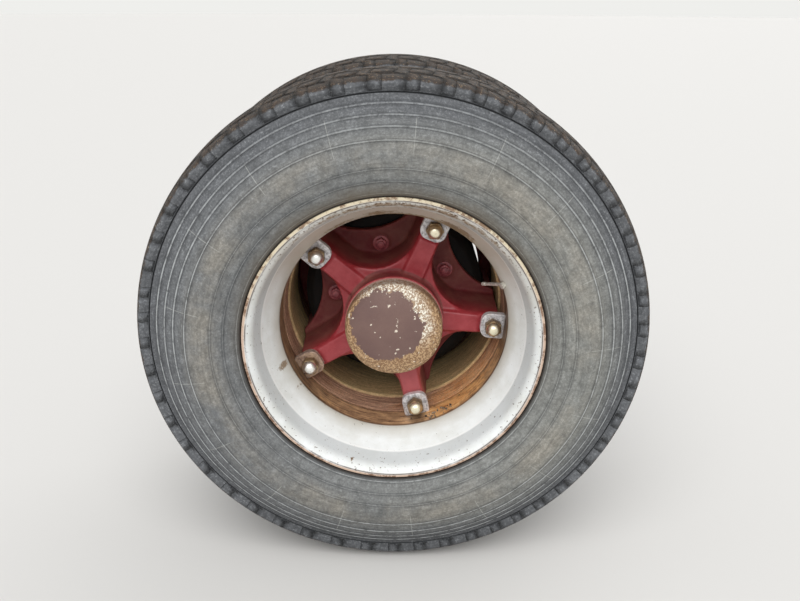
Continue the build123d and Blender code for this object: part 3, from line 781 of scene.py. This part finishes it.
def hexagon(corner_r, height, base, bevelled, bevel_steps=2):
    """Hexagon nut or bolt head that stands on Z at its base, with its edges rounded."""
    bm = bmesh.new()
    middle = Matrix.Translation((0, 0, base + height / 2))
    bmesh.ops.create_cone(
        bm, cap_ends=True, segments=6, radius1=corner_r, radius2=corner_r, depth=height, matrix=middle
    )
    bmesh.ops.bevel(
        bm, geom=bm.edges[:], offset=bevelled, affect="EDGES", segments=bevel_steps, profile=0.5, material=-1
    )
    return bm


drum_nut = hexagon(corner_r=13.8, height=9.8, base=2.7, bevelled=2.2, bevel_steps=3)
washer = turned(((0, 18, 0.6), (3, 18, 0.8), (3, 0, 0), (0, 0, 0)), steps=48)
bolt_tip = turned(((10, 8, 0), (16.5, 8, 1.4), (16.8, 0, 0), (10, 0, 0)), steps=32)
bolt_shank = turned(((-35, 7.8, 0), (4, 7.8, 0), (4, 0, 0), (-35, 0, 0)), steps=32)
bolts_bm = bmesh.new()
for i, angle in enumerate(bolt_angles):
    here = station(angle, bolt_circle_r, bolt_seat)
    joined(bolts_bm, washer, here)
    joined(bolts_bm, bolt_tip, here)
    joined(bolts_bm, bolt_shank, here)
    joined(bolts_bm, drum_nut, here @ Matrix.Rotation(first_nut_turn + next_nut_turn * i, 4, "Z"))
bolts = shown(bolts_bm, "drum_bolts_shown", [bolt_paint_lit])
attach(bolts, "twin_wheel")
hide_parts("drum_bolts")


# Hub cap: a pressed steel dome with a rolled edge, held on the barrel's face. Its cream paint has
# flaked off the crown down to red-brown primer and turned to a speckled ring.
cap_outline = (
    (118, 102, 0), (113, 102, 1.2), (111.6, 100.8, 1), (82, 100.8, 11), (68.5, 76, 20), (60, 40, 20),
    (58.2, 0, 0), (61, 0, 0), (71, 74, 0), (84, 97, 0), (118, 98, 0),
)  # depth, radius, rounding
# Enamel over primer on pressed steel: half matt, flaked in scales that are drawn at 4 mm to show
ragged_size, flake_size, crumb_size, smudge_size = 35.7, 4.35, 12.2, 62.5
ragged_reach = 60
cap_paint, tree = material("flaked_paint_on_pressed_steel")
place, radius, depth, height = coordinates(tree)
ragged = add(tree, "TexNoise", {"Vector": place, "Scale": 1 / ragged_size, "Detail": 9.0, "Roughness": 0.72})
flakes = add(tree, "TexNoise", {"Vector": place, "Scale": 1 / flake_size, "Detail": 4.0, "Roughness": 0.75})
crumbs = add(tree, "TexNoise", {"Vector": place, "Scale": 1 / crumb_size, "Detail": 4.0, "Roughness": 0.55})
smudge = add(tree, "TexNoise", {"Vector": place, "Scale": 1 / smudge_size, "Detail": 4.0})
side_x = add(tree, "SeparateXYZ", {"Vector": place}).outputs["X"]
lean = add(tree, "Math", {0: side_x, 1: 0.2, 2: radius}, operation="MULTIPLY_ADD")
lean = add(tree, "Math", {0: height, 1: -0.2, 2: lean}, operation="MULTIPLY_ADD")
edge_r = add(tree, "Math", {0: ragged, 1: ragged_reach, 2: lean}, operation="MULTIPLY_ADD")
primer_zone = add(tree, "MapRange", {"Value": edge_r, "From Min": 100.3, "From Max": 99.5})
primer = add(
    tree, "Mix", {"Factor": smudge, "A": linear("#5e4443"), "B": linear("#81665c")}, data_type="RGBA"
)
cream = add(tree, "MapRange", {"Value": flakes, "From Min": 0.49, "From Max": 0.54})
flaked = add(tree, "Mix", {"Factor": cream, "A": linear("#a98d72"), "B": linear("#faf5e6")}, data_type="RGBA")
worn_ring = add(
    tree, "Mix", {"Factor": cream, "A": linear("#8a6848"), "B": linear("#c9a77f")}, data_type="RGBA"
)
low_side = add(tree, "Math", {0: height, 1: 1.4, 2: side_x}, operation="MULTIPLY_ADD")
up_right = add(
    tree, "MapRange", {"Value": low_side, "From Min": 0, "From Max": 70}, interpolation_type="SMOOTHSTEP"
)
outer_ring = add(tree, "MapRange", {"Value": edge_r, "From Min": 132, "From Max": 110})
fresh = add(tree, "Math", {0: up_right, 1: outer_ring}, operation="MULTIPLY")
ring = add(tree, "Mix", {"Factor": fresh, "A": worn_ring, "B": flaked}, data_type="RGBA")
colour = add(tree, "Mix", {"Factor": primer_zone, "A": ring, "B": primer}, data_type="RGBA")
crumb = add(tree, "MapRange", {"Value": crumbs, "From Min": 0.655, "From Max": 0.67})
colour = add(tree, "Mix", {"Factor": crumb, "A": colour, "B": linear("#e6dac8")}, data_type="RGBA")
shaded = add(tree, "MapRange", {"Value": radius, "From Min": 98.5, "From Max": 100.5, "To Max": 0.6})
colour = add(tree, "Mix", {"Factor": shaded, "A": colour, "B": linear("#6b4a3b")}, data_type="RGBA")
rim_line = add(tree, "MapRange", {"Value": radius, "From Min": 101.0, "From Max": 101.6})
colour = add(tree, "Mix", {"Factor": rim_line, "A": colour, "B": linear("#c08f86")}, data_type="RGBA")
left_on = add(tree, "Math", {0: cream, 1: primer_zone}, operation="SUBTRACT")
bumps = add(tree, "Bump", {"Height": left_on, "Strength": 0.5, "Distance": 0.0005})
surface = add(tree, "BsdfPrincipled", {"Base Color": colour, "Roughness": 0.55, "Normal": bumps})
add(tree, "OutputMaterial", {"Surface": surface})
bm = turned(cap_outline, steps=160)
bm.transform(axle)
cap = shown(bm, "hub_cap_shown", [cap_paint], crease=50)
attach(cap, "twin_wheel")
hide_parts("hub_cap")


# Rim clamps: forged wedges, galvanised. Each plate bridges the spoke's end and the outer rim's
# well, and its toe reaches in between them.
clamp_depth = 166
clamp_hub_side_r = 186.4
clamp_size = (51, 56, 14)
toe_size, toe_foot = (9, 40, 26), (0.5, 3.6)  # toe_foot: its sides at the thin end
toe_r, toe_middle_depth = 232, 176.5
plate = bmesh.new()
bmesh.ops.create_cube(plate, size=1)
bmesh.ops.scale(plate, verts=plate.verts, vec=clamp_size)
upright = [e for e in plate.edges if abs(e.verts[0].co.z - e.verts[1].co.z) > 1]
hub_side = [e for e in upright if e.verts[0].co.x < 0]
rim_side = [e for e in upright if e.verts[0].co.x > 0]
corner_bevels = ((hub_side, 20, 8), (rim_side, 5, 3))  # edges, reach, steps
for edges, reach, steps in corner_bevels:
    bmesh.ops.bevel(plate, geom=edges, offset=reach, affect="EDGES", segments=steps, profile=0.5, material=-1)
outer_face = [e for e in plate.edges if abs(e.verts[0].co.z - e.verts[1].co.z) < 1 and e.verts[0].co.z > 0]
bmesh.ops.bevel(plate, geom=outer_face, offset=2.2, affect="EDGES", segments=3, profile=0.5, material=-1)
toe = bmesh.new()
bmesh.ops.create_cube(toe, size=1)
bmesh.ops.scale(toe, verts=toe.verts, vec=toe_size)
for v in toe.verts:
    if v.co.z < 0:
        v.co.x = toe_foot[1] if v.co.x > 0 else toe_foot[0]
bmesh.ops.bevel(toe, geom=toe.edges[:], offset=1.5, affect="EDGES", segments=2, profile=0.5, material=-1)
clamps_bm = bmesh.new()
for angle in spoke_angles:
    plate_place = station(angle, clamp_hub_side_r + clamp_size[0] / 2, clamp_depth - clamp_size[2] / 2)
    joined(clamps_bm, plate, plate_place)
    joined(clamps_bm, toe, station(angle, toe_r, toe_middle_depth))
# Galvanised forging: dull grey spangle, drawn at 8 mm to show, bright on its rubbed edges, where a
# painted highlight is laid too, and brown at the lower left, where the zinc has gone
spangle_size, patch_size = 8.33, 22.2
zinc, tree = material("worn_galvanised_forging")
place = in_millimetres(tree)
spangle = add(tree, "TexNoise", {"Vector": place, "Scale": 1 / spangle_size, "Detail": 5.0, "Roughness": 0.7})
patch = add(tree, "TexNoise", {"Vector": place, "Scale": 1 / patch_size, "Detail": 6.0, "Roughness": 0.7})
lit = add(tree, "MapRange", {"Value": spangle, "From Min": 0.38, "From Max": 0.58})
colour = add(tree, "Mix", {"Factor": lit, "A": linear("#5f5b5d"), "B": linear("#dddadb")}, data_type="RGBA")
parts = add(tree, "SeparateXYZ", {"Vector": place}).outputs
left = add(tree, "MapRange", {"Value": parts["X"], "From Min": 0, "From Max": -160})
corner = add(tree, "MapRange", {"Value": parts["Z"], "From Min": 0, "From Max": -80})
low_left = add(tree, "Math", {0: left, 1: corner}, operation="MULTIPLY")
rusted = add(tree, "Math", {0: low_left, 1: 0.75, 2: patch}, operation="MULTIPLY_ADD")
rusted = add(tree, "MapRange", {"Value": rusted, "From Min": 0.58, "From Max": 0.74, "To Max": 0.9})
brown = add(tree, "Mix", {"Factor": lit, "A": linear("#6b452c"), "B": linear("#a8845f")}, data_type="RGBA")
colour = add(tree, "Mix", {"Factor": rusted, "A": colour, "B": brown}, data_type="RGBA")
# Bright edges: rubbed zinc and a painted highlight
polished = add(tree, "NewGeometry").outputs["Pointiness"]
polished = add(tree, "MapRange", {"Value": polished, "From Min": 0.51, "From Max": 0.57, "To Max": 0.85})
kept_bright = add(tree, "MapRange", {"Value": low_left, "To Min": 1, "To Max": 0.25})
polished = add(tree, "Math", {0: polished, 1: kept_bright}, operation="MULTIPLY")
colour = add(tree, "Mix", {"Factor": polished, "A": colour, "B": linear("#f1eeee")}, data_type="RGBA")
bumps = add(tree, "Bump", {"Height": patch, "Strength": 0.4, "Distance": 0.0008})
surface = add(
    tree, "BsdfPrincipled", {"Base Color": colour, "Metallic": 0.35, "Roughness": 0.5, "Normal": bumps}
)
add(tree, "OutputMaterial", {"Surface": surface})
clamps = shown(clamps_bm, "rim_clamps_shown", [zinc], crease=40)
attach(clamps, "twin_wheel")
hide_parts("rim_clamps")


# Clamp nuts: tall hexagons closed by a dome, plated. The plating is gone from the flats, which are
# brown, and bright on the domes that tools and grit have polished. The studs inside are brown too.
clamp_middle_r = 212.5
nut_place = clamp_depth - clamp_size[2]
nut_turns = (8, 21, 40, 3, 30)
brown_steel = mottled(
    "browned_nut_flats",
    patch_size=6.67,
    grain={"Detail": 5.0, "Roughness": 0.7},
    reach={"From Min": 0.35, "From Max": 0.65},
    colours=("#65513d", "#a48c69"),
    finish={"Metallic": 0.6, "Roughness": 0.45},
)
patch_size = 9.09
bright_steel, tree = material("polished_nut_domes")
place = in_millimetres(tree)
side_x = add(tree, "SeparateXYZ", {"Vector": place}).outputs["X"]
patch = add(tree, "TexNoise", {"Vector": place, "Scale": 1 / patch_size, "Detail": 4.0, "Roughness": 0.6})
warm = add(tree, "MapRange", {"Value": side_x, "From Min": -60, "From Max": 20})
colour = add(tree, "Mix", {"Factor": warm, "A": linear("#f6f5f1"), "B": linear("#f1e9cf")}, data_type="RGBA")
tarnish = add(tree, "MapRange", {"Value": patch, "From Min": 0.58, "From Max": 0.75, "To Max": 0.6})
colour = add(tree, "Mix", {"Factor": tarnish, "A": colour, "B": linear("#7a6648")}, data_type="RGBA")
rough = add(
    tree, "MapRange", {"Value": patch, "From Min": 0.3, "From Max": 0.7, "To Min": 0.3, "To Max": 0.5}
)
surface = add(tree, "BsdfPrincipled", {"Base Color": colour, "Metallic": 1.0, "Roughness": rough})
add(tree, "OutputMaterial", {"Surface": surface})
nut = hexagon(corner_r=19, height=18, base=0, bevelled=1.3)
dome = turned(((16, 15.6, 0), (20, 15.4, 2), (26, 13, 5), (30.6, 7.5, 5), (31.6, 0, 0), (16, 0, 0)), steps=40)
for face in dome.faces:
    face.material_index = 1
nuts_bm = bmesh.new()
for angle, turn in zip(spoke_angles, nut_turns):
    here = station(angle, clamp_middle_r, nut_place)
    joined(nuts_bm, nut, here @ Matrix.Rotation(radians(turn), 4, "Z"))
    joined(nuts_bm, dome, here)
nuts = shown(nuts_bm, "clamp_nuts_shown", [brown_steel, bright_steel], crease=40)
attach(nuts, "twin_wheel")
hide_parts("clamp_nuts")
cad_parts["clamp_studs"].data.materials[0] = brown_steel


# Brake drum: a cast iron bowl bolted to the back of the web, rough as cast, dark with brake dust and
# darker still as painted shade. The grain of the casting is drawn at 8 mm to show.
drum_outline = (
    (307, 100.2, 0), (307, 187, 4), (325, 205, 6), (470, 205, 2), (472, 205, 1), (490, 205, 1.5),
    (490, 190.5, 1.5), (335, 190.5, 6), (317, 172.5, 4), (317, 100.2, 0),
)
cast_size, rust_size = 8.33, 33.3
cast_iron, tree = material("dark_cast_iron")
place = in_millimetres(tree)
rough_cast = add(
    tree, "TexNoise", {"Vector": place, "Scale": 1 / cast_size, "Detail": 6.0, "Roughness": 0.7}
)
rust = add(tree, "TexNoise", {"Vector": place, "Scale": 1 / rust_size, "Detail": 6.0, "Roughness": 0.7})
rust = add(tree, "MapRange", {"Value": rust, "From Min": 0.45, "From Max": 0.75, "To Max": 0.6})
colour = add(tree, "Mix", {"Factor": rust, "A": linear("#0c0a0a"), "B": linear("#211713")}, data_type="RGBA")
bumps = add(tree, "Bump", {"Height": rough_cast, "Strength": 0.5, "Distance": 0.001})
surface = add(tree, "BsdfPrincipled", {"Base Color": colour, "Roughness": 0.85, "Normal": bumps})
add(tree, "OutputMaterial", {"Surface": surface})
bm = turned(drum_outline)
bm.transform(axle)
drum = shown(bm, "brake_drum_shown", [cast_iron])
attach(drum, "twin_wheel")
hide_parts("brake_drum")


# Valve stems: plated brass tubes, each clamped through its rim's bevel by a hexagon nut and ending
# in a knurled cap. The outer one is bent inboard, towards the spokes.
valve_places = (
    ("outer_valve", 100, 243.3, 1, 50, 66), ("inner_valve", 498, 253.9, -1, -28, 34),
)  # name, seat's depth and radius, sense of the rim, lean and length of the stem
valve_turn = radians(23)
bevel_lean = -28
cap_length, cap_r = 12, 4
knurl = 0.93  # share of the cap's radius at the feet of its knurl
brass = mottled(
    "dull_plated_brass",
    patch_size=7.14,
    grain={"Detail": 4.0},
    reach={"From Min": 0.35, "From Max": 0.65},
    colours=("#b3ada2", "#ece8df"),
    finish={"Metallic": 0.5, "Roughness": 0.4},
)
valve_nut = hexagon(corner_r=7.4, height=7, base=2, bevelled=0.8)
gasket = turned(((0.2, 7.4, 0.4), (2.2, 7.4, 0.6), (2.2, 0, 0), (0.2, 0, 0)), steps=32)
for name, depth, radius, sense, lean, length in valve_places:
    outward = Vector((cos(valve_turn), 0, sin(valve_turn)))
    seat = Matrix.Scale(0.001, 4) @ Matrix.Translation(outward * radius + Vector((0, depth - axle_end, 0)))
    leans = (radians(bevel_lean), radians(lean))
    ways = [Vector((0, sense * sin(a), 0)) - outward * cos(a) for a in leans]
    square, leaning = (seat @ way.to_track_quat("Z", "Y").to_matrix().to_4x4() for way in ways)
    cap_foot = length - cap_length
    stem_outline = (
        (4, 3.6, 0), (cap_foot - 3, 3.6, 0), (cap_foot - 2, 3.2, 0.2), (cap_foot, 3.2, 0.2),
        (cap_foot + 0.5, cap_r, 0.3), (length - 1, cap_r, 1), (length - 0.4, 0, 0), (4, 0, 0),
    )
    stem = turned(stem_outline, steps=24)
    for v in stem.verts:
        if v.co.z > cap_foot and hypot(v.co.x, v.co.y) > cap_r - 0.1 and v.index % 2:
            v.co.x, v.co.y = v.co.x * knurl, v.co.y * knurl
    valve = bmesh.new()
    joined(valve, gasket, square)
    joined(valve, valve_nut, square)
    joined(valve, stem, leaning)
    piece = shown(valve, name + "_shown", [brass])
    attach(piece, "twin_wheel")
    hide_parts(name)


# Road grit: small stones and chips of rust that lie in the rim's well beside the lowest clamp,
# stuck in the wet dirt there.
grit_grains = 26
grit_angle, grit_depth = -64, 134
grit_spread = (7, 10)  # degrees, millimetres
grit_r, grit_limits = 236.6, (118, 172)
grain_radius, grain_lumps = (1.2, 3.4), (0.7, 1.1)
grit_random = Random(5)
stone = mottled(
    "wet_road_grit",
    patch_size=11.1,
    grain={"Detail": 3.0},
    reach={"From Min": 0.4, "From Max": 0.6},
    colours=("#2a211b", "#a08a70"),
    finish={"Roughness": 0.6},
)
grit_bm = bmesh.new()
for grain in range(grit_grains):
    chip = bmesh.new()
    bmesh.ops.create_icosphere(chip, subdivisions=1, radius=grit_random.uniform(*grain_radius))
    for v in chip.verts:
        v.co *= grit_random.uniform(*grain_lumps)
    angle = grit_angle + grit_random.gauss(0, grit_spread[0])
    depth = min(max(grit_depth + grit_random.gauss(0, grit_spread[1]), grit_limits[0]), grit_limits[1])
    joined(grit_bm, chip, station(angle, grit_r, depth))
grit_piece = shown(grit_bm, "road_grit", [stone], crease=20)
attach(grit_piece, "twin_wheel")


# Axle end: a forged tube with the brake flange and spindle turned on it, in dusty black paint, and
# the pressed dust shield, held to the flange by a ring of bolts.
shield_bolts = 8
shield_bolt_circle_r = 82
shield_bolt_seat = 516
shield_bolt_turn = 0.7  # radians
black_paint = mottled(
    "dusty_black_paint",
    patch_size=41.7,
    grain={"Detail": 7.0, "Roughness": 0.7},
    reach={"From Min": 0.38, "From Max": 0.7, "To Max": 0.7},
    colours=("#26241f", "#5e5141"),
    finish={"Roughness": 0.7},
)
for name in ("axle_tube", "brake_shield"):
    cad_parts[name].data.materials[0] = black_paint
shield_bolt = hexagon(corner_r=9.2, height=8, base=0, bevelled=1)
shield_bolts_bm = bmesh.new()
for k in range(shield_bolts):
    here = station(360 / shield_bolts * (k + 0.5), shield_bolt_circle_r, shield_bolt_seat)
    inboard = here @ Matrix.Rotation(pi, 4, "X")
    joined(shield_bolts_bm, shield_bolt, inboard @ Matrix.Rotation(shield_bolt_turn * k, 4, "Z"))
shield_piece = shown(shield_bolts_bm, "shield_bolts", [black_paint])
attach(shield_piece, "axle_end")
